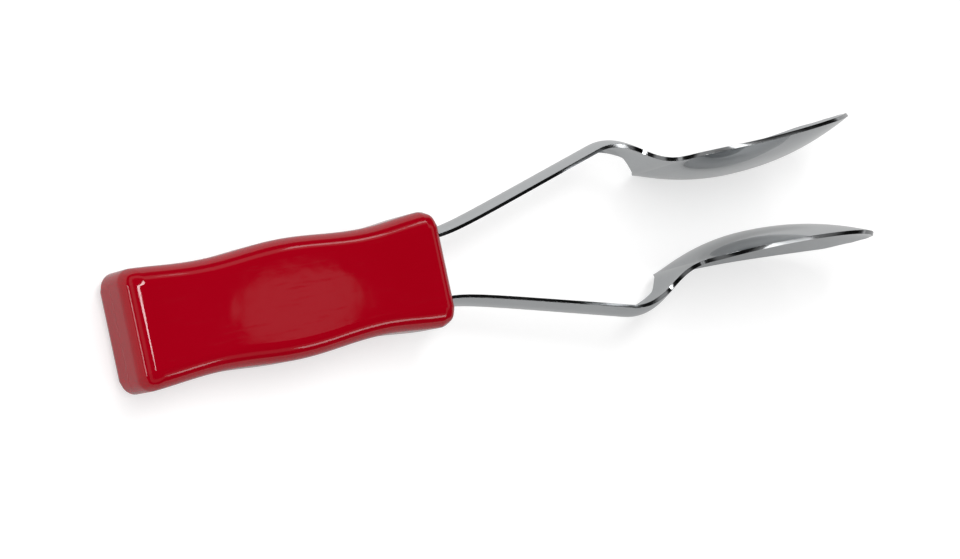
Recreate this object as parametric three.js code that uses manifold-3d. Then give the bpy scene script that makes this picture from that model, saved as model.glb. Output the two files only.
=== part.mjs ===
// Musical spoons: two stamped steel spoons, back to back, gripped in a moulded two-shell handle.
// Millimetres. X runs from the butt of the handle to the tips of the bowls, Y goes across from one
// spoon to the other, and Z is up. The pair lies on its side, on the butt edge and the rims of both bowls.
import * as THREE from "three";
import { mergeVertices } from "three/addons/utils/BufferGeometryUtils.js";
import Module from "manifold-3d";

// Handle outside
const handleLength = 94.6;
const handleHeight = 32;
const handleThickness = 20.6;
const longEdgeRadius = 5.4;
const buttEdgeRadius = 4;
const mouthEdgeRadius = 4.5;
const buttWaistPlace = 23.4;
const buttWaistDepth = 1.3;
const middleBulgePlace = 47;
const mouthWaistPlace = 71.8;
const mouthWaistDepth = 1.5;
const mouthBulgePlace = 93;
const smallestRadius = 0.8;

// Handle inside
const shellWall = 2.2;
const mouthWall = 3.2;
const partingGap = 0.3;
const ribThickness = 1.8;
const keyRibThickness = 2.6;
const ribPlaces = [14, 33, 68, 84];
const keyRibPlace = 51;
const pegPlaces = [23, 59.5, 76];
const pegRadius = 2;
const pegReach = 4;
const bossRadius = 3.8;

// Steel stamping: tang and strip
const steelThickness = 1.2;
const stripWidth = 9.6;
const stripCrown = 1.75;
const tangOffset = 8.5;
const tangLength = 69;
const tangEndRadius = 3;
const notchLength = 3.4;
const notchDepth = 1.4;
const clearance = 0.3;
const pivotDepth = 0.85;

// Steel stamping: strip, bend and neck, measured from the mouth of the handle
const splaySlope = 0.264;
const mouthBendLength = 5.6;
const bendPlace = 65.8;
const bendBlend = 7.1;
const neckSlope = 0.716;
const neckStart = 72.5;
const neckFlarePower = 1.25;
const shoulderPlace = 80.2;
const shoulderHalfWidth = 13.2;
const shoulderFlarePower = 5;

// Steel stamping: bowl
const bowlLength = 66.9;
const bowlHalfWidth = 21;
const widestShare = 0.46;
const shoulderRimHeight = 14.9;
const rimRise = 3.6;
const rimPower = 2.5;
const rimBlend = 1.4;
const bowlDepth = 5.8;
const deepestShare = 0.45;
const bowlFullness = 2.3;
const sectionPower = 1.91;
const shoulderDish = 0.6;
const outlinePower = 2.75;
const tipHalfWidth = 1;
const crownFadeLead = 5.7;
const fadeLength = 1.9;

// How true the hand-fitted pair sits, in degrees
const pairLean = 0.5;
const upperTwist = -1.2;
const lowerTwist = -2.7;

// How finely the curved faces are divided
const sectionSteps = 16;
const cornerSteps = 5;
const endSteps = 4;
const handleSteps = 18;
const pinSides = 16;
const filletSteps = 9;
const bowlSteps = 28;

const degree = Math.PI / 180;
const wasm = await Module();
wasm.setup();

// A closed solid skinned over rings of points that all have the same count, with flat ends.
function skin(rings, endFaces) {
  const count = rings[0].length;
  const points = rings.flat().flatMap((point) => [point.x, point.y, point.z]);
  const faces = [];
  for (let i = 0; i + 1 < rings.length; i++) {
    for (let j = 0; j < count; j++) {
      const a = i * count + j;
      const b = i * count + ((j + 1) % count);
      faces.push(a, b, b + count, a, b + count, a + count);
    }
  }
  const last = (rings.length - 1) * count;
  for (const [a, b, c] of endFaces) {
    faces.push(a, c, b);
    faces.push(last + a, last + b, last + c);
  }
  const geometry = new THREE.BufferGeometry();
  geometry.setAttribute("position", new THREE.Float32BufferAttribute(points, 3));
  geometry.setIndex(faces);
  return geometry;
}

// Triangles that close a ring made of two facing rows, as on the end of a strip of sheet.
function stripEnd(count) {
  const triangles = [];
  for (let j = 0; j + 1 < count / 2; j++) {
    triangles.push([j, j + 1, count - 2 - j], [j, count - 2 - j, count - 1 - j]);
  }
  return triangles;
}

// Triangles that close a convex ring as a fan.
function fanEnd(count) {
  return Array.from({ length: count - 2 }, (_, j) => [0, j + 1, j + 2]);
}

function solid(geometry) {
  const plain = geometry.index ? geometry.toNonIndexed() : geometry.clone();
  plain.deleteAttribute("normal");
  plain.deleteAttribute("uv");
  const merged = mergeVertices(plain, 1e-4);
  return new wasm.Manifold(
    new wasm.Mesh({
      numProp: 3,
      vertProperties: Float32Array.from(merged.attributes.position.array),
      triVerts: Uint32Array.from(merged.index.array),
    }),
  );
}

function geometryOf(made) {
  const mesh = made.getMesh();
  const geometry = new THREE.BufferGeometry();
  geometry.setAttribute("position", new THREE.BufferAttribute(mesh.vertProperties, 3));
  geometry.setIndex(new THREE.BufferAttribute(mesh.triVerts, 1));
  return geometry;
}

function block(low, high) {
  const size = high.map((value, i) => value - low[i]);
  const box = new THREE.BoxGeometry(...size);
  box.translate(low[0] + size[0] / 2, low[1] + size[1] / 2, low[2] + size[2] / 2);
  return solid(box);
}

// A round pin standing along Z.
function pin(x, radius, bottom, top) {
  const shape = new THREE.CylinderGeometry(radius, radius, top - bottom, pinSides);
  shape.rotateX(Math.PI / 2);
  shape.translate(x, 0, (bottom + top) / 2);
  return solid(shape);
}

// Handle: the waved outline and the rounded-rectangle section

// Half the height of the outline at x: full at the ends and the middle, drawn in at two waists.
function outlineHalfHeight(x) {
  const full = handleHeight / 2;
  const nodes = [
    [0, full],
    [buttWaistPlace, full - buttWaistDepth],
    [middleBulgePlace, full],
    [mouthWaistPlace, full - mouthWaistDepth],
    [mouthBulgePlace, full],
    [handleLength + handleHeight, full],
  ];
  const i = nodes.findIndex(([place]) => x < place);
  const next = i < 1 ? 1 : i;
  const [x0, h0] = nodes[next - 1];
  const [x1, h1] = nodes[next];
  const share = Math.min(Math.max((x - x0) / (x1 - x0), 0), 1);
  return h0 + ((h1 - h0) * (1 - Math.cos(Math.PI * share))) / 2;
}

function roundedSection(x, halfHeight, halfThickness, radius) {
  const corners = [
    [1, 1, 0],
    [-1, 1, 90],
    [-1, -1, 180],
    [1, -1, 270],
  ];
  return corners.flatMap(([sideY, sideZ, start]) =>
    Array.from({ length: cornerSteps + 1 }, (_, k) => {
      const angle = (start + (90 * k) / cornerSteps) * degree;
      const y = sideY * (halfHeight - radius) + radius * Math.cos(angle);
      const z = sideZ * (halfThickness - radius) + radius * Math.sin(angle);
      return new THREE.Vector3(x, y, z);
    }),
  );
}

// How far a rounded edge has drawn in from the full section, at a depth from the end face.
function edgePull(depth, radius) {
  const short = Math.max(radius - depth, 0);
  return radius - Math.sqrt(Math.max(radius ** 2 - short ** 2, 0));
}

// The handle's form drawn in by an inset all round, between two ends that may be set in further.
function handleForm(inset, buttInset, mouthInset) {
  const start = buttInset;
  const end = handleLength - mouthInset;
  const buttEdge = Math.max(buttEdgeRadius - inset, smallestRadius);
  const mouthEdge = Math.max(mouthEdgeRadius - inset, smallestRadius);
  const places = [];
  for (let k = 0; k <= endSteps; k++) {
    places.push(start + buttEdge * (1 - Math.cos((Math.PI / 2) * (k / endSteps))));
  }
  const span = end - mouthEdge - (start + buttEdge);
  for (let k = 1; k < handleSteps; k++) {
    places.push(start + buttEdge + (span * k) / handleSteps);
  }
  for (let k = endSteps; k >= 0; k--) {
    places.push(end - mouthEdge * (1 - Math.cos((Math.PI / 2) * (k / endSteps))));
  }
  const rings = places.map((x) => {
    const pull = edgePull(x - start, buttEdge) + edgePull(end - x, mouthEdge);
    const radius = Math.max(longEdgeRadius - inset - pull, smallestRadius);
    const halfHeight = outlineHalfHeight(x) - inset - pull;
    return roundedSection(x, halfHeight, handleThickness / 2 - inset - pull, radius);
  });
  return solid(skin(rings, fanEnd(rings[0].length)));
}

// Steel stamping: its middle surface is a height over u, along, and w, across

// The smaller of two heights, with the corner where they cross rounded off.
function blendedMin(a, b, blend) {
  const near = Math.max(blend - Math.abs(a - b), 0);
  return Math.min(a, b) - near ** 2 / (4 * blend);
}

function blendedMax(a, b, blend) {
  return -blendedMin(-a, -b, blend);
}

function fadeIn(u, place) {
  return 1 / (1 + Math.exp((place - u) / fadeLength));
}

function bowlShare(u) {
  return Math.min(Math.max((u - shoulderPlace) / bowlLength, 0), 1);
}

// Height of the two long edges over the handle's middle plane, u from the mouth.
function edgeHeight(u) {
  if (u <= 0) {
    return tangOffset;
  }
  const lag = mouthBendLength * (1 - Math.exp(-u / mouthBendLength));
  const strip = tangOffset + splaySlope * (u - lag);
  const peak = tangOffset + splaySlope * (bendPlace - mouthBendLength);
  const neck = peak - neckSlope * (u - bendPlace);
  const bent = blendedMin(strip, neck, bendBlend);
  if (u < bendPlace) {
    return bent;
  }
  const share = bowlShare(u);
  const rim = shoulderRimHeight + rimRise * share ** rimPower;
  return blendedMax(bent, rim, rimBlend);
}

function halfWidth(u) {
  const strip = stripWidth / 2;
  if (u < neckStart) {
    const fromEnd = u + tangLength;
    const short = Math.max(tangEndRadius - fromEnd, 0);
    return strip - tangEndRadius + Math.sqrt(Math.max(tangEndRadius ** 2 - short ** 2, 0));
  }
  if (u <= shoulderPlace) {
    const share = (u - neckStart) / (shoulderPlace - neckStart);
    const inner = Math.max(1 - share ** neckFlarePower, 0) ** (1 / neckFlarePower);
    return strip + (shoulderHalfWidth - strip) * (1 - inner);
  }
  const share = bowlShare(u);
  if (share < widestShare) {
    const grow = 1 - (1 - share / widestShare) ** shoulderFlarePower;
    return shoulderHalfWidth + (bowlHalfWidth - shoulderHalfWidth) * grow;
  }
  const close = (share - widestShare) / (1 - widestShare);
  const round = Math.sqrt(Math.max(1 - close ** outlinePower, 0));
  return tipHalfWidth + (bowlHalfWidth - tipHalfWidth) * round;
}

// How far the middle of the section stands out past its edges: the crown of the strip is
// positive, and the hollow of the bowl negative.
function middleRise(u) {
  const crown = stripCrown * (1 - fadeIn(u, shoulderPlace - crownFadeLead));
  const share = bowlShare(u);
  const skew = Math.log(0.5) / Math.log(deepestShare);
  const hollow = bowlDepth * (1 - Math.abs(2 * share ** skew - 1) ** bowlFullness);
  const dish = shoulderDish * fadeIn(u, shoulderPlace) * (1 - share);
  return crown - hollow - dish;
}

// One ring of the sheet: the outer face from edge to edge, then the inner face back again.
function sheetRing(u, thickness, widen) {
  const half = halfWidth(u < -stripWidth ? u + widen : u);
  const archHalf = Math.max(half, stripWidth / 2);
  const step = 0.05;
  const slope = (edgeHeight(u + step) - edgeHeight(u - step)) / (2 * step);
  const riseSlope = (middleRise(u + step) - middleRise(u - step)) / (2 * step);
  const rise = middleRise(u);
  const outer = [];
  const inner = [];
  for (let j = 0; j <= sectionSteps; j++) {
    const w = ((2 * j) / sectionSteps - 1) * (half + widen);
    const share = w / archHalf;
    const arch = 1 - Math.abs(share) ** sectionPower;
    const across = Math.sign(share) * Math.abs(share) ** (sectionPower - 1);
    const middle = new THREE.Vector3(u, edgeHeight(u) + rise * arch, w);
    const normal = new THREE.Vector3(
      -slope - riseSlope * arch,
      1,
      (sectionPower * rise * across) / archHalf,
    ).normalize();
    outer.push(middle.clone().addScaledVector(normal, thickness / 2));
    inner.push(middle.clone().addScaledVector(normal, -thickness / 2));
  }
  return [...outer, ...inner.reverse()];
}

// Places along the tang, from its rounded end to the mouth.
function tangPlaces(start, end) {
  const places = [];
  for (let k = 0; k <= endSteps; k++) {
    const turn = (Math.PI / 2) * (k / endSteps);
    places.push(start + tangEndRadius * (1 - Math.cos(turn)));
  }
  if (end > 0) {
    places.push(0);
  }
  places.push(end);
  return places;
}

// Places along the blade, close together where it bends or flares.
function bladePlaces(start) {
  const places = [start, 0];
  for (const share of [0.3, 0.7, 1.2, 1.8, 2.7, 4, 6]) {
    places.push(share * mouthBendLength);
  }
  const bendStart = bendPlace - 6;
  const straightStart = 6 * mouthBendLength;
  places.push((straightStart + bendStart) / 2);
  const bendSteps = 6;
  for (let k = 0; k <= bendSteps; k++) {
    places.push(bendStart + ((neckStart - bendStart) * k) / bendSteps);
  }
  for (let k = 1; k <= filletSteps; k++) {
    const turn = (Math.PI / 2) * (k / filletSteps);
    places.push(neckStart + (shoulderPlace - neckStart) * Math.sin(turn));
  }
  for (let k = 1; k <= bowlSteps; k++) {
    places.push(shoulderPlace + (bowlLength * (1 - Math.cos(Math.PI * (k / bowlSteps)))) / 2);
  }
  return places;
}

function tangForm(thickness, widen, endDepth) {
  const places = tangPlaces(-tangLength - widen, endDepth);
  const rings = places.map((u) => sheetRing(u, thickness, widen));
  const count = rings[0].length;
  return solid(skin(rings, stripEnd(count)));
}

// The pair of edge notches, or with a clearance the pair of keys that sits in them.
function notchBlocks(gap) {
  const place = keyRibPlace - handleLength;
  const inside = stripWidth / 2 - notchDepth + gap;
  const low = tangOffset - steelThickness * 2;
  const high = tangOffset + stripCrown + steelThickness * 2;
  const halfLength = notchLength / 2 - gap;
  return [1, -1].map((side) => {
    const nearZ = side > 0 ? inside : -stripWidth;
    const farZ = side > 0 ? stripWidth : -inside;
    return block([place - halfLength, low, nearZ], [place + halfLength, high, farZ]);
  });
}

function tangSolid() {
  const whole = tangForm(steelThickness, 0, -pivotDepth - clearance / 2);
  return notchBlocks(0).reduce((left, notch) => left.subtract(notch), whole);
}

// The space that the tang takes in the shells, with its clearance all round.
function tangPocket() {
  const room = tangForm(steelThickness + 2 * clearance, clearance, 1);
  return notchBlocks(clearance).reduce((left, key) => left.subtract(key), room);
}

// The strip past the mouth, the neck and the bowl, twisted as it leaves the handle.
function bladeGeometry(side, twist) {
  const rings = bladePlaces(clearance / 2 - pivotDepth).map((u) => {
    const share = Math.min(Math.max(u / bendPlace, 0), 1);
    const turn = twist * degree * share * share * (3 - 2 * share);
    const height = side * edgeHeight(u);
    const ring = sheetRing(u, steelThickness, 0);
    return ring.map(({ x, y, z }) => {
      const dy = side * y - height;
      const dz = side * z;
      const turnedY = height + dy * Math.cos(turn) - dz * Math.sin(turn);
      const turnedZ = dy * Math.sin(turn) + dz * Math.cos(turn);
      return new THREE.Vector3(x, turnedY, turnedZ);
    });
  });
  return skin(rings, stripEnd(rings[0].length));
}

// Handle shells

function shellSolid(front) {
  const side = front ? 1 : -1;
  const outside = handleForm(0, 0, 0);
  const inside = handleForm(shellWall, shellWall, mouthWall);
  const fill = handleForm(shellWall / 2, shellWall / 2, mouthWall / 2);
  const tall = handleHeight;
  const ribs = [...ribPlaces, keyRibPlace].map((x) => {
    const half = (x === keyRibPlace ? keyRibThickness : ribThickness) / 2;
    return block([x - half, -tall, -tall], [x + half, tall, tall]).intersect(fill);
  });
  let whole = ribs.reduce((made, rib) => made.add(rib), outside.subtract(inside));
  const innerFace = handleThickness / 2 - shellWall / 2;
  if (!front) {
    for (const x of pegPlaces) {
      whole = whole.add(pin(x, bossRadius, -innerFace, 0));
      whole = whole.subtract(pin(x, pegRadius + clearance, -pegReach - clearance, 1));
    }
  }
  const low = side > 0 ? partingGap / 2 : -tall;
  const high = side > 0 ? tall : -partingGap / 2;
  whole = whole.intersect(block([-1, -tall, low], [handleLength + 1, tall, high]));
  if (front) {
    for (const x of pegPlaces) {
      whole = whole.add(pin(x, pegRadius, -pegReach, innerFace));
    }
  }
  const pocket = tangPocket().translate([handleLength, 0, 0]);
  const otherPocket = pocket.rotate([180, 0, 0]);
  return whole.subtract(pocket).subtract(otherPocket);
}

// Materials and assembly

const redPlastic = new THREE.MeshStandardMaterial({
  color: 0xb00418,
  roughness: 0.22,
  metalness: 0,
});
const brightSteel = new THREE.MeshStandardMaterial({
  color: 0xc9cbcd,
  roughness: 0.12,
  metalness: 1,
});

function named(name, geometry, material) {
  const mesh = new THREE.Mesh(geometry, material);
  mesh.name = name;
  return mesh;
}

function handleGroup() {
  const group = new THREE.Group();
  group.add(named("handle_front_shell", geometryOf(shellSolid(true)), redPlastic));
  group.add(named("handle_rear_shell", geometryOf(shellSolid(false)), redPlastic));
  return group;
}

function tangMesh(name, side) {
  const mesh = named(name, geometryOf(tangSolid()), brightSteel);
  mesh.position.x = handleLength;
  mesh.rotation.x = side > 0 ? 0 : Math.PI;
  return mesh;
}

// Each blade hangs in a group at its pivot, so that it turns about the place where the steel flexes.
function bladeGroup(name, side, twist) {
  const pivot = new THREE.Group();
  pivot.position.set(handleLength - pivotDepth, side * tangOffset, 0);
  pivot.rotation.z = pairLean * degree;
  const blade = named(name, bladeGeometry(side, twist), brightSteel);
  blade.position.set(pivotDepth, -side * tangOffset, 0);
  pivot.add(blade);
  return pivot;
}

const assembly = new THREE.Group();
const handle = handleGroup();
const upperBlade = bladeGroup("upper_spoon", 1, upperTwist);
const lowerBlade = bladeGroup("lower_spoon", -1, lowerTwist);
assembly.add(handle, tangMesh("upper_tang", 1), tangMesh("lower_tang", -1), upperBlade, lowerBlade);

// The resting tilt: the butt edge of the handle and the rims of the bowls touch the same plane.
function lowestPoint(objects, tilt) {
  assembly.rotation.y = -tilt;
  assembly.updateMatrixWorld(true);
  const boxes = objects.map((object) => new THREE.Box3().setFromObject(object, true));
  return Math.min(...boxes.map((box) => box.min.z));
}

function restingTilt() {
  let low = 0;
  let high = 10 * degree;
  for (let k = 0; k < 40; k++) {
    const middle = (low + high) / 2;
    const handleLow = lowestPoint([handle], middle);
    const spoonsLow = lowestPoint([upperBlade, lowerBlade], middle);
    if (handleLow > spoonsLow) {
      low = middle;
    } else {
      high = middle;
    }
  }
  return (low + high) / 2;
}

assembly.rotation.y = -restingTilt();
assembly.updateMatrixWorld(true);
const bounds = new THREE.Box3().setFromObject(assembly, true);
const centre = bounds.getCenter(new THREE.Vector3());
assembly.position.set(-centre.x, -centre.y, -bounds.min.z);

const spoons = new THREE.Group();
spoons.add(assembly);

export default spoons;
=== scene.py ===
# %% [markdown]
# # A pair of musical spoons
# This lesson builds a folk percussion instrument: two bright stamped steel spoons, back to back,
# held in one glossy red grip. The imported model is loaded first. It is the fixed frame that every
# new piece has to fit, and all lengths in Blender are metres.

# %% Load the frame
import math

import bmesh
import bpy
from mathutils import Matrix, Vector


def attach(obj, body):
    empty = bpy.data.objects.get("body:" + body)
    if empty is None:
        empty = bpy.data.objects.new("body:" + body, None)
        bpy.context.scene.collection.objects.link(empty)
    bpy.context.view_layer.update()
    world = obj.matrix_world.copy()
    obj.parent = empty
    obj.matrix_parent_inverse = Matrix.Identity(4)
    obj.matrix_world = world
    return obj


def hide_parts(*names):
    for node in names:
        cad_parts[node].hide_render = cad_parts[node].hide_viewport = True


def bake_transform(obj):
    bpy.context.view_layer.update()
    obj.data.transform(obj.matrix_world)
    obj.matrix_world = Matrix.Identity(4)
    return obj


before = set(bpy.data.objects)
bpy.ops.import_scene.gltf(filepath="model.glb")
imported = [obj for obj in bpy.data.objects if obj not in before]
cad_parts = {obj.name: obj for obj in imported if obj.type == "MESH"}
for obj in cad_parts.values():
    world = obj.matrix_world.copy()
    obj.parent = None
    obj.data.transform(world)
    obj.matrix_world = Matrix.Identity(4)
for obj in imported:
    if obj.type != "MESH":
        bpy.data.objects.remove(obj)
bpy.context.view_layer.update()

# %% [markdown]
# The pair lies on its side, on the edge of the butt and the rims of the bowls, so the whole thing
# is tipped up by about three degrees. It is much easier to model a straight handle along X, with
# the butt at zero and the parting plane of the two shells at Z = 0, and to tip each finished piece
# at the end. This cell keeps that one move, and the few lengths, in millimetres, that several
# pieces share. The tolerance is in metres: points closer than that count as one.

# %% Shared lengths and the resting tilt
MM = 0.001
tolerance = 1e-6
butt_centre = Vector((-120.60542, -0.54857, 10.05288)) * MM
tilt_sine = 0.05751736
resting_tilt = math.asin(tilt_sine)
lay_down = Matrix.Translation(butt_centre) @ Matrix.Rotation(-resting_tilt, 4, "Y")

handle_length = 94.6
handle_height = 32.0
handle_thickness = 20.6
steel_thickness = 1.2
tang_offset = 8.5
pivot_depth = 0.85
print("resting tilt", round(math.degrees(resting_tilt), 2), "degrees")

# %% [markdown]
# Operators act on whatever is selected, and the loaded model leaves its own parts selected. These
# small helpers start each piece from a clean selection, pick parts of a mesh by place, and apply
# modifiers, so that the modelling cells below read like a list of moves made by hand.

# %% Helpers for modelling
def select_nothing():
    if bpy.context.object and bpy.context.object.mode != "OBJECT":
        bpy.ops.object.mode_set(mode="OBJECT")
    bpy.ops.object.select_all(action="DESELECT")


def only(piece):
    """Select one object, and nothing else, and make it active."""
    select_nothing()
    piece.select_set(True)
    bpy.context.view_layer.objects.active = piece


def new_piece(name, add, **settings):
    """Add a primitive with a bpy.ops call, and name it."""
    select_nothing()
    add(**settings)
    piece = bpy.context.object
    piece.name = name
    piece.data.name = name
    return piece


def pick(piece, kind, wanted):
    """In edit mode, select the vertices, edges or faces that wanted() says yes to."""
    bpy.ops.object.mode_set(mode="EDIT")
    bpy.ops.mesh.select_mode(type=kind)
    bpy.ops.mesh.select_all(action="DESELECT")
    bpy.ops.object.mode_set(mode="OBJECT")
    mesh = piece.data
    points = mesh.vertices
    if kind == "VERT":
        for vertex in points:
            vertex.select = wanted(vertex.co)
    elif kind == "EDGE":
        for edge in mesh.edges:
            ends = [points[index].co for index in edge.vertices]
            edge.select = wanted(*ends)
    else:
        for face in mesh.polygons:
            face.select = wanted(face)
    bpy.ops.object.mode_set(mode="EDIT")


def apply_modifier(piece, kind, **settings):
    only(piece)
    modifier = piece.modifiers.new(kind.title(), kind)
    for key, value in settings.items():
        setattr(modifier, key, value)
    bpy.ops.object.modifier_apply(modifier=modifier.name)


def apply_place(piece, matrix):
    """Move a piece and apply the move, so that its object stays at the origin, unturned."""
    only(piece)
    piece.matrix_world = matrix @ piece.matrix_world
    bpy.ops.object.transform_apply(location=True, rotation=True, scale=True)


def face_outwards(piece):
    """Weld doubled points, and make all faces look out of the solid."""
    only(piece)
    bpy.ops.object.mode_set(mode="EDIT")
    bpy.ops.mesh.select_mode(type="VERT")
    bpy.ops.mesh.select_all(action="SELECT")
    bpy.ops.mesh.remove_doubles(threshold=tolerance)
    bpy.ops.mesh.normals_make_consistent(inside=False)
    bpy.ops.object.mode_set(mode="OBJECT")


def shade(piece, sharp_angle):
    """Shade smoothly up to an angle. The large faces lead, so that flat ones look flat."""
    only(piece)
    bpy.ops.object.shade_smooth_by_angle(angle=sharp_angle)
    apply_modifier(piece, "WEIGHTED_NORMAL", weight=80, keep_sharp=True)


def copy_of(piece, name):
    only(piece)
    bpy.ops.object.duplicate(linked=False)
    twin = bpy.context.object
    twin.name = name
    twin.data.name = name
    return twin


print("helpers ready")

# %% [markdown]
# ## The camera
# The photograph looks down on the pair from the butt end, with a long lens. The numbers come from
# fitting the edges of the grip and the spoons, so the render can be laid over the photograph.
# Lengths are millimetres along the straight handle, and turns are radians.

# %% Camera
picture_width = 960
sensor_width = 36.0
focal_pixels = 2800.0
far_limit = 20.0
camera_distance = 768.56
aim = Vector((108.61, -5.40, 0.0))
turn_to_butt = 0.5479
nod = -0.0006
roll = 0.2105
axes = (
    Matrix.Rotation(roll, 3, "Z")
    @ Matrix.Rotation(nod, 3, "X")
    @ Matrix.Rotation(turn_to_butt, 3, "Y")
)
camera_turn = axes.transposed()
camera_place = aim + camera_turn @ Vector((0.0, 0.0, camera_distance))
bpy.ops.object.camera_add()
camera = bpy.context.object
camera.name = "photo_camera"
camera.data.sensor_width = sensor_width
camera.data.lens = focal_pixels / picture_width * sensor_width
camera.data.clip_end = far_limit
camera.data.dof.use_dof = False
camera.matrix_world = lay_down @ Matrix.Translation(camera_place * MM) @ camera_turn.to_4x4()
bpy.context.scene.camera = camera
print("camera at", [round(value, 4) for value in camera.matrix_world.translation])

# %% [markdown]
# ## The stamped spoon
# Each spoon is one piece of sheet steel, 1.2 mm thick, from the end of the tang inside the grip to
# the tip of the bowl. A press bends it: the strip is arched across its width, which makes it stiff,
# then it turns down through a neck that flares into two sharp shoulders, and opens into the bowl.
# The stamping could be sculpted, but a press works with a profile along and a profile across, and
# a grid can follow the same two profiles. So first the profiles are written down, in millimetres
# from the mouth of the grip.

# %% Profiles of the stamping
# The strip, and the tang that it ends in.
strip_half = 4.8
strip_crown = 1.75
tang_length = 69.0
tang_end_radius = 3.0
splay_slope = 0.264
mouth_bend_length = 5.6
# The bend, and the neck with its two shoulders.
bend_place = 65.8
bend_blend = 7.1
neck_slope = 0.716
neck_start = 72.5
neck_flare = 1.25
shoulder_place = 80.2
shoulder_half = 13.2
shoulder_flare = 5.0
shoulder_height = 14.9
shoulder_dish = 0.6
# The bowl: its outline, its rim and its hollow.
bowl_length = 66.9
bowl_half = 21.0
widest_share = 0.46
outline_power = 2.75
tip_half = 1.0
rim_rise = 3.6
rim_power = 2.5
rim_blend = 2.2
bowl_depth = 5.8
deepest_share = 0.45
bowl_fullness = 2.3
across_power = 1.91
# How the crown of the strip turns into the hollow of the bowl.
crown_fade_lead = 5.7
fade_length = 1.3
arch_step = 1.25


def blended_min(a, b, blend):
    """The smaller of two heights, with a rounded corner where they cross."""
    near = max(blend - abs(a - b), 0.0)
    return min(a, b) - near * near / (4.0 * blend)


def bowl_share(u):
    return min(max((u - shoulder_place) / bowl_length, 0.0), 1.0)


def edge_height(u):
    """How far the edge of the sheet stands off the middle plane of the grip."""
    if u <= 0.0:
        return tang_offset
    lag = mouth_bend_length * (1.0 - math.exp(-u / mouth_bend_length))
    strip = tang_offset + splay_slope * (u - lag)
    peak = tang_offset + splay_slope * (bend_place - mouth_bend_length)
    neck = peak - neck_slope * (u - bend_place)
    bent = blended_min(strip, neck, bend_blend)
    if u < bend_place:
        return bent
    rim = shoulder_height + rim_rise * bowl_share(u) ** rim_power
    return -blended_min(-bent, -rim, rim_blend)


def half_width(u):
    if u < neck_start:
        short = max(tang_end_radius - (u + tang_length), 0.0)
        rounded = math.sqrt(max(tang_end_radius**2 - short**2, 0.0))
        return strip_half - tang_end_radius + rounded
    if u <= shoulder_place:
        share = (u - neck_start) / (shoulder_place - neck_start)
        inner = max(1.0 - share**neck_flare, 0.0) ** (1.0 / neck_flare)
        return strip_half + (shoulder_half - strip_half) * (1.0 - inner)
    share = bowl_share(u)
    if share < widest_share:
        grow = 1.0 - (1.0 - share / widest_share) ** shoulder_flare
        return shoulder_half + (bowl_half - shoulder_half) * grow
    close = (share - widest_share) / (1.0 - widest_share)
    return tip_half + (bowl_half - tip_half) * math.sqrt(max(1.0 - close**outline_power, 0.0))


def arch_half(u):
    """Half the width that the arch is scaled to: the outline's, eased over the sharp shoulder."""
    if u <= 0.0:
        return strip_half
    near = [max(half_width(u + arch_step * k), strip_half) for k in range(-4, 5)]
    return sum(near) / len(near)


def fade_in(u, place):
    return 1.0 / (1.0 + math.exp((place - u) / fade_length))


def middle_rise(u):
    """How far the middle stands above the edges: positive for a crown, negative for a hollow."""
    crown = strip_crown * (1.0 - fade_in(u, shoulder_place - crown_fade_lead))
    share = bowl_share(u)
    skew = math.log(0.5) / math.log(deepest_share)
    hollow = bowl_depth * (1.0 - abs(2.0 * share**skew - 1.0) ** bowl_fullness)
    dish = shoulder_dish * fade_in(u, shoulder_place) * (1.0 - share)
    return crown - hollow - dish


print("the bend stands", round(edge_height(bend_place), 1), "mm off the middle")
print("the shoulders stand", round(edge_height(shoulder_place), 1), "mm off the middle")

# %% [markdown]
# The rows of the grid have to be close together where the sheet bends or flares, and can be far
# apart on the straight strip. They also draw together towards the tip, where the outline turns.
# None are closer than a quarter of a millimetre, so that the edges can still be rounded later.
# At both ends the grid stops a hair short, where the outline turns straight across the sheet.

# %% Rows of the grid
def stretch(start, end, count, draw_in=1.0):
    """Places from start up to, but not including, end, closer together near the end."""
    return [start + (end - start) * (1.0 - (1.0 - k / count) ** draw_in) for k in range(count)]


columns = 37
tang_trim, tip_trim = 0.1, 0.2
bend_reach, tip_reach = 8.0, 8.0
mouth_inside, mouth_outside = -3.0, 12.0
tang_end = -tang_length + tang_trim
tip_place = shoulder_place + bowl_length - tip_trim
rows = [tang_end + step for step in (0.0, 0.5, 1.2, 2.0)]
rows += stretch(tang_end + tang_end_radius, mouth_inside, 10)
rows += stretch(mouth_inside, mouth_outside, 12)
rows += stretch(mouth_outside, bend_place - bend_reach, 12)
rows += stretch(bend_place - bend_reach, neck_start, 22)
rows += stretch(neck_start, shoulder_place, 20)
rows += stretch(shoulder_place, tip_place - tip_reach, 62)
rows += stretch(tip_place - tip_reach, tip_place, 14, 1.3)
rows.append(tip_place)
print(len(rows), "rows of", columns, "points")

# %% [markdown]
# Now the stamping itself. A flat grid is added, two units square. First every column is lifted, so
# that the grid becomes an arch across. Then each row is scaled to the width of the sheet there,
# its arch to the height of the crown or the depth of the hollow, and the row is moved out to the
# height of its edges. These are the moves of a press tool, one cross-section at a time. The two
# spoons were set by hand, so the rows also turn a little more and more towards each bowl.

# %% Press one sheet
def turn_about(axis, angle, centre):
    """Turn what is selected. With no window the operator turns the other way, hence the minus."""
    bpy.ops.transform.rotate(value=-angle, orient_axis=axis, center_override=centre)


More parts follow.
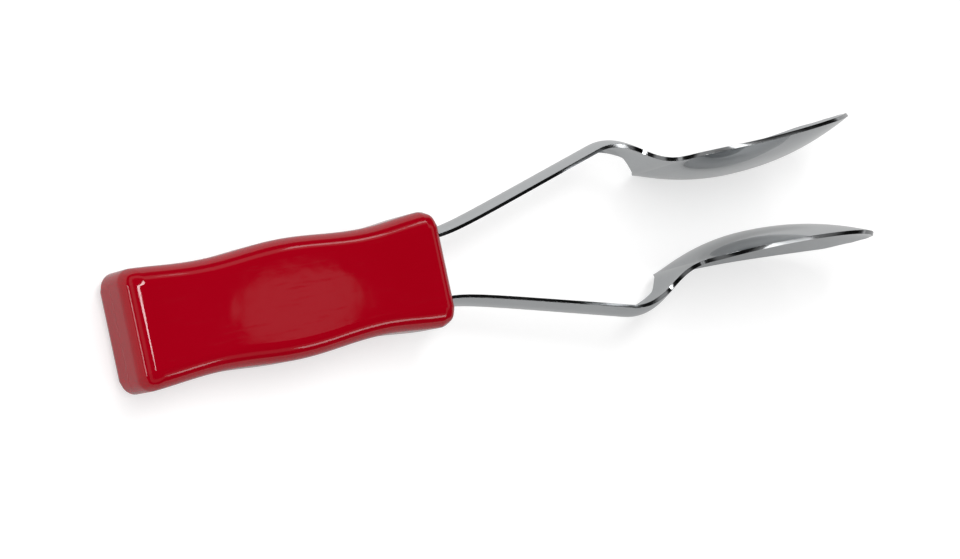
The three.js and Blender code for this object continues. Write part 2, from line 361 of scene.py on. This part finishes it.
def press_sheet(name, places, twist=0.0, wider=0.0):
    last = len(places) - 1
    piece = new_piece(
        name,
        bpy.ops.mesh.primitive_grid_add,
        x_subdivisions=last,
        y_subdivisions=columns - 1,
        size=2.0,
    )
    bpy.ops.object.mode_set(mode="EDIT")
    sheet = bmesh.from_edit_mesh(piece.data)
    in_rows = [[] for _ in places]
    in_columns = {}
    for vertex in sheet.verts:
        in_rows[round((vertex.co.x + 1.0) / 2.0 * last)].append(vertex)
        in_columns.setdefault(round(abs(vertex.co.y), 4), []).append(vertex)

    def take(vertices):
        bpy.ops.mesh.select_all(action="DESELECT")
        for vertex in vertices:
            vertex.select = True
        sheet.select_flush(True)

    for across, vertices in in_columns.items():
        take(vertices)
        bpy.ops.transform.translate(value=(0.0, 0.0, 1.0 - across**across_power))
    for k, (u, vertices) in enumerate(zip(places, in_rows)):
        grid_place = 2.0 * k / last - 1.0
        half = half_width(u) + wider
        narrowed = (half / (arch_half(u) + wider)) ** across_power
        rise = middle_rise(u)
        take(vertices)
        bpy.ops.transform.resize(
            value=(1.0, half * MM, rise * narrowed * MM), center_override=(0.0, 0.0, 0.0)
        )
        out = edge_height(u) + rise * (1.0 - narrowed)
        bpy.ops.transform.translate(value=(u * MM - grid_place, 0.0, out * MM))
        share = min(max(u / bend_place, 0.0), 1.0)
        turn = twist * share * share * (3.0 - 2.0 * share)
        if turn:
            turn_about("X", turn, (u * MM, 0.0, edge_height(u) * MM))
    bpy.ops.object.mode_set(mode="OBJECT")
    return piece


print("press ready")

# %% [markdown]
# The faces of the sheet are buffed bright, but its edge was sheared by the press: it is a little
# duller and finely torn, and its colour gets painted shade, a darkening that stands in for the dark
# the edge mirrors. Once the sheet has its thickness that difference can't be seen from its shape
# alone. Solidify can tell, because it makes the walls itself and can put them in a second material
# slot, so that is written down as an attribute of each face, for the steel's material to read.

# %% Remember where the sheet was cut
def mark_cut_edge(piece):
    """Turn the second material slot into an attribute, and empty the slot."""
    cut = piece.data.attributes.new("cut_edge", "FLOAT", "FACE")
    for face in piece.data.polygons:
        cut.data[face.index].value = float(face.material_index)
        face.material_index = 0


print("cut edges are kept as an attribute")

# %% [markdown]
# ## Two spoons from one press
# Both spoons come from the same tool. The upper one is laid with its hollow side outwards, up in
# the photograph, and the lower one is the same piece turned half a turn, so that the backs of the
# bowls face each other. The whole pair leans by half a degree where it leaves the grip. Solidify
# gives the steel its even thickness, and a small Bevel takes the sharpness off the cut edges.

# %% Make the upper and lower spoon
pair_lean = math.radians(0.5)
sharp_steel = math.radians(50)
steel_edge_radius = 0.07
spoon_twists = {"upper_stamping": math.radians(-1.2), "lower_stamping": math.radians(-2.7)}
to_mouth = Matrix.Translation((handle_length * MM, 0.0, 0.0))
spoons = {}
for name, twist in spoon_twists.items():
    side = 1.0 if name.startswith("upper") else -1.0
    spoon = press_sheet(name, rows, twist)
    apply_place(spoon, to_mouth @ Matrix.Rotation(-side * math.pi / 2, 4, "X"))
    pivot = Vector((handle_length - pivot_depth, side * tang_offset, 0.0)) * MM
    pick(spoon, "VERT", lambda point: point.x > pivot.x)
    turn_about("Z", pair_lean, pivot)
    bpy.ops.object.mode_set(mode="OBJECT")
    for _ in ("buffed faces", "cut edge"):
        bpy.ops.object.material_slot_add()
    apply_modifier(
        spoon,
        "SOLIDIFY",
        thickness=steel_thickness * MM,
        offset=0.0,
        use_even_offset=True,
        material_offset_rim=1,
    )
    apply_modifier(
        spoon,
        "BEVEL",
        width=steel_edge_radius * MM,
        segments=2,
        limit_method="ANGLE",
        angle_limit=sharp_steel,
        use_clamp_overlap=False,
    )
    face_outwards(spoon)
    mark_cut_edge(spoon)
    shade(spoon, sharp_steel)
    apply_place(spoon, lay_down)
    spoons[name] = spoon
    size = [round(length / MM, 1) for length in spoon.dimensions]
    print(name, len(spoon.data.polygons), "faces,", size, "mm")

# %% [markdown]
# ## The grip
# The grip is two moulded half shells that meet on a flat plane. From outside they look like one
# bar with round edges, and with a waved outline that the fingers can feel: two waists with a
# bulge between them. The wave is a list of places and half heights, joined by half waves of a
# cosine, because the real outline has no corner either.

# %% The wave of the outline
wave_nodes = [
    (0.0, 16.0),
    (23.4, 14.7),
    (47.0, 16.0),
    (71.8, 14.5),
    (93.0, 16.0),
    (handle_length, 16.0),
]


def wave_half_height(x):
    for (left, low), (right, high) in zip(wave_nodes, wave_nodes[1:]):
        if x <= right:
            share = min(max((x - left) / (right - left), 0.0), 1.0)
            return low + (high - low) * (1.0 - math.cos(math.pi * share)) / 2.0
    return wave_nodes[-1][1]


print("half heights", [round(wave_half_height(x), 2) for x, _ in wave_nodes], "mm")

# %% [markdown]
# A cube is the start of the bar: its four long edges are divided into many cross-sections, and a
# weighted Bevel rounds the long edges more than the ends. The two ends are extruded from the cube,
# so that their rounding meets no cross-section. Edges are picked by where they run, in metres.

# %% Shape the bar
long_radius, butt_radius, butt_side_radius, mouth_radius = 5.4, 5.4, 4.0, 4.5
rounding_room = 0.25
cross_cuts, corner_segments = 70, 12
butt_flat = butt_radius + rounding_room
mouth_flat = handle_length - mouth_radius - rounding_room
bar = new_piece(
    "grip_bar",
    bpy.ops.mesh.primitive_cube_add,
    size=MM,
    location=((butt_flat + mouth_flat) / 2 * MM, 0.0, 0.0),
    scale=(mouth_flat - butt_flat, handle_height, handle_thickness),
)
bpy.ops.object.transform_apply(location=True, rotation=True, scale=True)
pick(bar, "EDGE", lambda a, b: abs(a.x - b.x) > 0.01)
bpy.ops.mesh.subdivide(number_cuts=cross_cuts)
for end, flat in ((0.0, butt_flat), (handle_length, mouth_flat)):
    pick(bar, "FACE", lambda face: abs(face.center.x - flat * MM) < tolerance)
    bpy.ops.mesh.extrude_region_move(
        TRANSFORM_OT_translate={"value": ((end - flat) * MM, 0.0, 0.0)}
    )
pick(bar, "EDGE", lambda a, b: abs(a.x - b.x) > 10 * tolerance)
bpy.ops.transform.edge_bevelweight(value=1.0)
for end, radius in ((0.0, butt_side_radius), (handle_length, mouth_radius)):
    pick(bar, "EDGE", lambda a, b: abs(a.x - end * MM) + abs(b.x - end * MM) < tolerance)
    bpy.ops.transform.edge_bevelweight(value=radius / long_radius)
pick(bar, "EDGE", lambda a, b: abs(a.x) + abs(b.x) + abs(a.z - b.z) < tolerance)
bpy.ops.transform.edge_bevelweight(value=(butt_radius - butt_side_radius) / long_radius)
apply_modifier(
    bar, "BEVEL", width=long_radius * MM, segments=corner_segments, limit_method="WEIGHT"
)
print("bar", [round(length / MM, 1) for length in bar.dimensions], "mm")

# %% [markdown]
# The wave is pushed into the round-edged bar, one cross-section after another: its upper half moves
# down and its lower half moves up. A push keeps the radius of the long edges, where a scale would
# squash them.

# %% Push the wave in
places = sorted({round(vertex.co.x, 6) for vertex in bar.data.vertices})
only(bar)
bpy.ops.object.mode_set(mode="EDIT")
mould = bmesh.from_edit_mesh(bar.data)
for place in places:
    sunk = (handle_height / 2 - wave_half_height(place / MM)) * MM
    for half in (1.0, -1.0):
        bpy.ops.mesh.select_all(action="DESELECT")
        for vertex in mould.verts:
            vertex.select = round(vertex.co.x, 6) == place and vertex.co.y * half > 0.0
        mould.select_flush(True)
        bpy.ops.transform.translate(value=(0.0, -half * sunk, 0.0))
bpy.ops.object.mode_set(mode="OBJECT")
print("waved bar has", len(places), "cross-sections")

# %% [markdown]
# The bar is cut down the middle into the two shells. Each cut face gets a small bevelled edge, so
# that the joint shows as the fine line that runs down the butt of the real grip. The strips of
# steel enter through slots: a slightly thicker and wider pressing of the tang cuts them out.

# %% Split the bar and cut the slots
seam_half_gap, seam_bevel = 0.015, 0.06
slot_reach, slot_side_room, slot_thickness_room = 2.5, 0.3, 0.6
sharp_plastic = math.radians(35)
slot_rows = [place for place in rows if place < slot_reach]
shells = {}
for name, side in (("grip_front_half", 1.0), ("grip_rear_half", -1.0)):
    shell = copy_of(bar, name)
    bpy.ops.object.mode_set(mode="EDIT")
    bpy.ops.mesh.select_all(action="SELECT")
    bpy.ops.mesh.bisect(
        plane_co=(0.0, 0.0, side * seam_half_gap * MM),
        plane_no=(0.0, 0.0, side),
        use_fill=True,
        clear_inner=True,
    )
    pick(shell, "EDGE", lambda a, b: max(abs(a.z), abs(b.z)) < 2 * seam_half_gap * MM)
    bpy.ops.mesh.bevel(offset=seam_bevel * MM, segments=2, affect="EDGES", clamp_overlap=True)
    bpy.ops.object.mode_set(mode="OBJECT")
    shells[name] = shell
for turn in (-math.pi / 2, math.pi / 2):
    cutter = press_sheet("slot_cutter", slot_rows, wider=slot_side_room)
    apply_place(cutter, to_mouth @ Matrix.Rotation(turn, 4, "X"))
    slot_thickness = steel_thickness + slot_thickness_room
    apply_modifier(cutter, "SOLIDIFY", thickness=slot_thickness * MM, offset=0.0)
    face_outwards(cutter)
    for shell in shells.values():
        apply_modifier(shell, "BOOLEAN", object=cutter, operation="DIFFERENCE", solver="EXACT")
    only(cutter)
    bpy.ops.object.delete()
only(bar)
bpy.ops.object.delete()
for shell in shells.values():
    face_outwards(shell)
    shade(shell, sharp_plastic)
    apply_place(shell, lay_down)
    print(shell.name, len(shell.data.polygons), "faces")

# %% [markdown]
# ## Sums as expressions
# A material is a network of nodes, and a formula in it soon becomes a long list of links. This
# small class wraps a socket, so that a sum of Math nodes can be written as a Python expression.

# %% A class for shader sums
class Sum:
    """One output socket of a node, that can be added, subtracted and multiplied."""

    def __init__(self, tree, socket):
        self.tree, self.socket = tree, socket

    def math(self, operation, *values):
        node = self.tree.nodes.new("ShaderNodeMath")
        node.operation = operation
        for slot, value in zip(node.inputs, values):
            put(self.tree, slot, value)
        return Sum(self.tree, node.outputs[0])

    def __add__(self, other):
        return self.math("ADD", self, other)

    def __sub__(self, other):
        return self.math("SUBTRACT", self, other)

    def __rsub__(self, other):
        return self.math("SUBTRACT", other, self)

    def __mul__(self, other):
        return self.math("MULTIPLY", self, other)

    __radd__ = __add__

    def node(self, kind, settings=None, output=0, **values):
        """Add any other node. Its sockets are called by name, or by number after a low line."""
        node = self.tree.nodes.new(kind)
        for key, value in (settings or {}).items():
            setattr(node, key, value)
        for key, value in values.items():
            number = key[1:]
            slot = node.inputs[int(number) if number.isdigit() else key.replace("_", " ")]
            put(self.tree, slot, value)
        return Sum(self.tree, node.outputs[output])


def put(tree, slot, value):
    """Link a sum to a socket, or set the socket's own value."""
    if isinstance(value, Sum):
        tree.links.new(value.socket, slot)
    else:
        slot.default_value = value


print("shader sums ready")

# %% [markdown]
# Four kinds of node come back in every finish: noise, a ramp that picks a range out of it, a mix of
# two colours, and a stretched copy of the coordinates, that turns round noise into long hairs. Each
# gets a short helper. Noise and not a picture is used, so that the finish has no seams and no
# repeats, and it is read in object space, so that it stays on the piece from any side.

# %% Helpers for finishes
def empty_tree(owner):
    """Give a material or a world an empty network of nodes."""
    owner.use_nodes = True
    owner.node_tree.nodes.clear()
    return owner.node_tree


def new_finish(name, **constants):
    """A Principled material, its fixed values set on the shader's own sockets."""
    material = bpy.data.materials.new(name)
    tree = empty_tree(material)
    output = tree.nodes.new("ShaderNodeOutputMaterial")
    shader = tree.nodes.new("ShaderNodeBsdfPrincipled")
    tree.links.new(shader.outputs[0], output.inputs["Surface"])
    for key, value in constants.items():
        shader.inputs[key.replace("_", " ")].default_value = value
    place = Sum(tree, tree.nodes.new("ShaderNodeTexCoord").outputs["Object"])
    return material, shader, place


def feed(shader, **links):
    for key, value in links.items():
        put(value.tree, shader.inputs[key.replace("_", " ")], value)


def noise(place, **settings):
    return place.node("ShaderNodeTexNoise", Vector=place, **settings)


def stretched(place, **settings):
    return place.node("ShaderNodeMapping", Vector=place, **settings)


def mixed(share, first, second):
    settings = {"data_type": "RGBA"}
    return share.node("ShaderNodeMix", settings, output=2, _0=share, _6=first, _7=second)


def ramp(value, *stops):
    """A grey ramp through pairs of a place and a shade."""
    result = value.node("ShaderNodeValToRGB", Fac=value)
    marks = result.socket.node.color_ramp.elements
    while len(marks) < len(stops):
        marks.new(0.5)
    for mark, (place, shade) in zip(marks, stops):
        mark.position, mark.color = place, (shade, shade, shade, 1.0)
    return result


print("finish helpers ready")

# %% [markdown]
# ## Finishes
# The grip is a hard, glossy red plastic. Close up it isn't quite even: the moulded skin ripples
# very slightly, the pigment is a little deeper in places, and handling leaves hairline scratches
# and faint smears that catch the light.

# %% Red moulded plastic
red_plastic, shader, place = new_finish("red_moulded_plastic", IOR=1.5, Metallic=0.0)
deep_red, light_red = (0.325, 0.0, 0.0055, 1.0), (0.375, 0.0002, 0.0095, 1.0)
drift = noise(place, Scale=26.0, Detail=3.0, Roughness=0.55)
speck = noise(place, Scale=900.0, Detail=2.0)
red = mixed(drift * 0.8 + speck * 0.2, deep_red, light_red)
slanting = stretched(place, Rotation=(0.2, 0.1, 0.5), Scale=(60.0, 1400.0, 900.0))
hairs = noise(slanting, Scale=1.0, Detail=2.0, Roughness=0.6)
scratches = ramp(hairs, (0.60, 0.0), (0.72, 1.0))
smear = noise(place, Scale=70.0, Detail=5.0, Roughness=0.7)
ripple = noise(place, Scale=170.0, Detail=1.0)
relief = ripple - scratches * 0.06 + speck * 0.03
skin = place.node("ShaderNodeBump", Strength=0.1, Distance=0.0002, Height=relief)
dulled = 0.02 + smear * 0.06 + scratches * 0.1
feed(shader, Base_Color=red, Roughness=dulled, Normal=skin)
print("red plastic has", len(red_plastic.node_tree.nodes), "nodes")

# %% [markdown]
# The spoons are bright steel that has been tumbled and buffed. It mirrors its surroundings, but
# softly: buffing lines run along the sheet, small dings and smears dull it here and there. A
# metal's colour is its reflectance, so a mid grey base gives the slightly dark mirror of the photo.
# The cut edge, which the attribute from the press tells apart, is a little duller and finely torn,
# as a sheared edge is. Its colour is also painted darker: painted shade that stands in for the dark
# the edge mirrors, not a colour of the steel itself.

# %% Bright steel
bright_steel, shader, place = new_finish("bright_steel", Metallic=1.0)
dark_steel, light_steel = (0.53, 0.545, 0.555, 1.0), (0.63, 0.645, 0.655, 1.0)
painted_edge_shade_grey, painted_edge_shade_share = (0.1, 0.1, 0.105, 1.0), 0.42
lengthwise = stretched(place, Scale=(45.0, 1500.0, 1500.0))
buffing = noise(lengthwise, Scale=1.0, Detail=3.0, Roughness=0.6)
crossing = stretched(place, Rotation=(0.3, 0.9, 0.4), Scale=(2200.0, 70.0, 1100.0))
cross_hairs = noise(crossing, Scale=1.0, Detail=2.0)
scratches = ramp(cross_hairs, (0.63, 0.0), (0.74, 1.0))
smear = noise(place, Scale=90.0, Detail=5.0, Roughness=0.65)
patch = ramp(smear, (0.42, 0.0), (0.68, 1.0))
steel = mixed(buffing * 0.4 + smear * 0.6, dark_steel, light_steel)
cut = place.node("ShaderNodeAttribute", {"attribute_name": "cut_edge"}, output=2)
# Painted shade: the cut edge's colour is pulled towards a dark grey, standing in for the dark that
# the edge mirrors; the sheared steel is not darker in itself.
steel_with_painted_edge_shade = mixed(cut * painted_edge_shade_share, steel, painted_edge_shade_grey)
tears = noise(place, Scale=2600.0, Detail=2.0, Roughness=0.7)
waviness = noise(place, Scale=110.0, Detail=1.0)
relief = waviness + buffing * 0.05 - scratches * 0.05 + cut * tears * 0.18
skin = place.node("ShaderNodeBump", Strength=0.12, Distance=0.0002, Height=relief)
dulled = 0.03 + patch * 0.06 + scratches * 0.08 + buffing * 0.05 + cut * 0.03
feed(shader, Base_Color=steel_with_painted_edge_shade, Roughness=dulled, Normal=skin)
print("bright steel has", len(bright_steel.node_tree.nodes), "nodes")

# %% [markdown]
# ## Dress and mount the pieces
# Each piece gets its finish. The shells say which body they move with: they ride on the handle.
# Each stamping is one sheet, fixed at its tang and swinging at its bowl; it gets its finish and its
# placing is baked into its mesh. The imported parts that these pieces replace are hidden.


def wear(piece, material):
    piece.data.materials.clear()
    piece.data.materials.append(material)


for name, shell in shells.items():
    wear(shell, red_plastic)
    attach(shell, "handle")
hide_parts("handle_front_shell")
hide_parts("handle_rear_shell")
for name, spoon in spoons.items():
    side = "upper" if name.startswith("upper") else "lower"
    y = tang_offset if side == "upper" else -tang_offset
    wear(spoon, bright_steel)
    side + "_spoon"
    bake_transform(spoon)
    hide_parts(side + "_tang", side + "_spoon")
print("dressed", len(shells) + len(spoons), "pieces")

# %% [markdown]
# ## Floor and light
# The photograph has a plain white background. The floor is matt white, with a little glow for the
# eye and for mirrors only, so that it reads as paper white and still keeps the soft shadow. Bright
# steel shows what lies around it more than itself. In mirrors the floor is therefore a mid grey,
# and lighter on the side that the main light comes from, as a sheet of paper on a table is.

# %% Floor
def ray_kinds(tree):
    """Whether a ray comes straight from the eye, and whether a mirror sent it on."""
    rays = tree.nodes.new("ShaderNodeLightPath").outputs
    by_eye = Sum(tree, rays["Is Camera Ray"])
    by_mirror = Sum(tree, rays["Is Glossy Ray"]) + Sum(tree, rays["Is Transmission Ray"])
    return by_eye, by_mirror


def axis_values(tree, kind):
    """The X, Y and Z of one kind of texture coordinate."""
    parts = tree.nodes.new("ShaderNodeSeparateXYZ")
    tree.links.new(tree.nodes.new("ShaderNodeTexCoord").outputs[kind], parts.inputs[0])
    return [Sum(tree, part) for part in parts.outputs]


white = (1.0, 1.0, 1.0, 1.0)
floor_size = 6.0
floor = new_piece("floor", bpy.ops.mesh.primitive_plane_add, size=floor_size)
paper = bpy.data.materials.new("white_paper_floor")
tree = empty_tree(paper)
by_eye, by_mirror = ray_kinds(tree)
_, across, _ = axis_values(tree, "Object")
paper_shade = 0.88 - by_eye * 0.38 - by_mirror * 0.58
side_light = ramp(across * 10.0 + 0.5, (0.0, 0.22), (1.0, 0.42))
strength = by_eye * 0.6 + by_mirror * side_light
matt = by_eye.node("ShaderNodeBsdfDiffuse", Color=paper_shade)
glow = by_eye.node("ShaderNodeEmission", Color=white, Strength=strength)
both = by_eye.node("ShaderNodeAddShader", _0=matt, _1=glow)
output = tree.nodes.new("ShaderNodeOutputMaterial")
tree.links.new(both.socket, output.inputs["Surface"])
wear(floor, paper)
print("floor set,", floor_size, "m square")

# %% [markdown]
# The room is what the steel mirrors above the floor. It is white only for the eye. For matt
# surfaces it is an even, soft grey light. Mirrors see a dark studio: a bright line of horizon where
# the white paper ends, a ring of pale panels half way up, brighter on one side, and a black
# ceiling. The black, together with the painted shade in the steel's colour on the cut edges, draws
# the sharp dark lines along the cut edges of the sheet.

# %% World
world = bpy.data.worlds.new("studio_room")
bpy.context.scene.world = world
tree = empty_tree(world)
ambient_grey = (0.48, 0.48, 0.48, 1.0)
by_eye, by_mirror = ray_kinds(tree)
_, across, height = axis_values(tree, "Generated")
horizon = ramp(height, (0.0, 0.9), (0.04, 0.7), (0.1, 0.1), (0.2, 0.01), (1.0, 0.0))
panels = ramp(height, (0.42, 0.0), (0.5, 1.0), (0.66, 1.0), (0.74, 0.0))
panel_tone = ramp(across * 0.5 + 0.5, (0.4, 0.26), (0.6, 0.5))
room = horizon + panels * panel_tone
ambient = height.node("ShaderNodeBackground", Color=ambient_grey, Strength=1.0)
mirrored = height.node("ShaderNodeBackground", Color=room, Strength=1.0)
backdrop = height.node("ShaderNodeBackground", Color=white, Strength=1.0)
lit = height.node("ShaderNodeMixShader", _0=by_mirror, _1=ambient, _2=mirrored)
shown = height.node("ShaderNodeMixShader", _0=by_eye, _1=lit, _2=backdrop)
output = tree.nodes.new("ShaderNodeOutputWorld")
tree.links.new(shown.socket, output.inputs["Surface"])
print("world set")

# %% [markdown]
# Five lamps finish the light, all of them area lamps, so that nothing throws a hard shadow. The
# main softbox hangs high over the butt. A slim softbox beyond the bowls on each side draws the
# white streaks on the rims and along the edges of the grip. A low strip behind the butt draws the
# pale line on its rounded edge, and a dim round card is what the flat face of the grip mirrors as
# its soft light patch. Each one gives its place, the point that it looks at, its size and its
# power, in metres and watts.

# %% Lamps
def lamp(name, place, look_at, width, height, power):
    bpy.ops.object.light_add(type="AREA")
    light = bpy.context.object
    light.name = name
    light.data.shape = "RECTANGLE"
    light.data.size, light.data.size_y = width, height
    light.data.energy = power
    toward = Vector(look_at) - Vector(place)
    turned = toward.to_track_quat("-Z", "Y").to_matrix().to_4x4()
    light.matrix_world = Matrix.Translation(place) @ turned
    return light


lamp("main_softbox", (-0.22, 0.2, 0.75), (-0.05, 0.0, 0.02), 0.6, 0.16, 3.6)
lamp("left_softbox", (0.50, 0.62, 0.56), (0.03, 0.0, 0.02), 0.36, 0.13, 0.42)
lamp("right_softbox", (0.44, -0.64, 0.52), (0.03, 0.0, 0.02), 0.30, 0.13, 0.40)
lamp("low_strip", (-1.09, 0.0, 0.25), (-0.12, 0.0, 0.01), 0.5, 0.1, 0.8)
card = lamp("dim_card", (0.241, 0.0, 0.72), (-0.085, 0.0, 0.03), 0.046, 0.068, 0.0032)
card.data.shape = "ELLIPSE"
print("lamps set")

# %% [markdown]
# The colours are shown as they are, with no film curve over them. The visual model has to stay
# inside the imported model's box.

# %% Show the colours as they are
bpy.context.scene.view_settings.view_transform = "Standard"
bpy.context.view_layer.update()
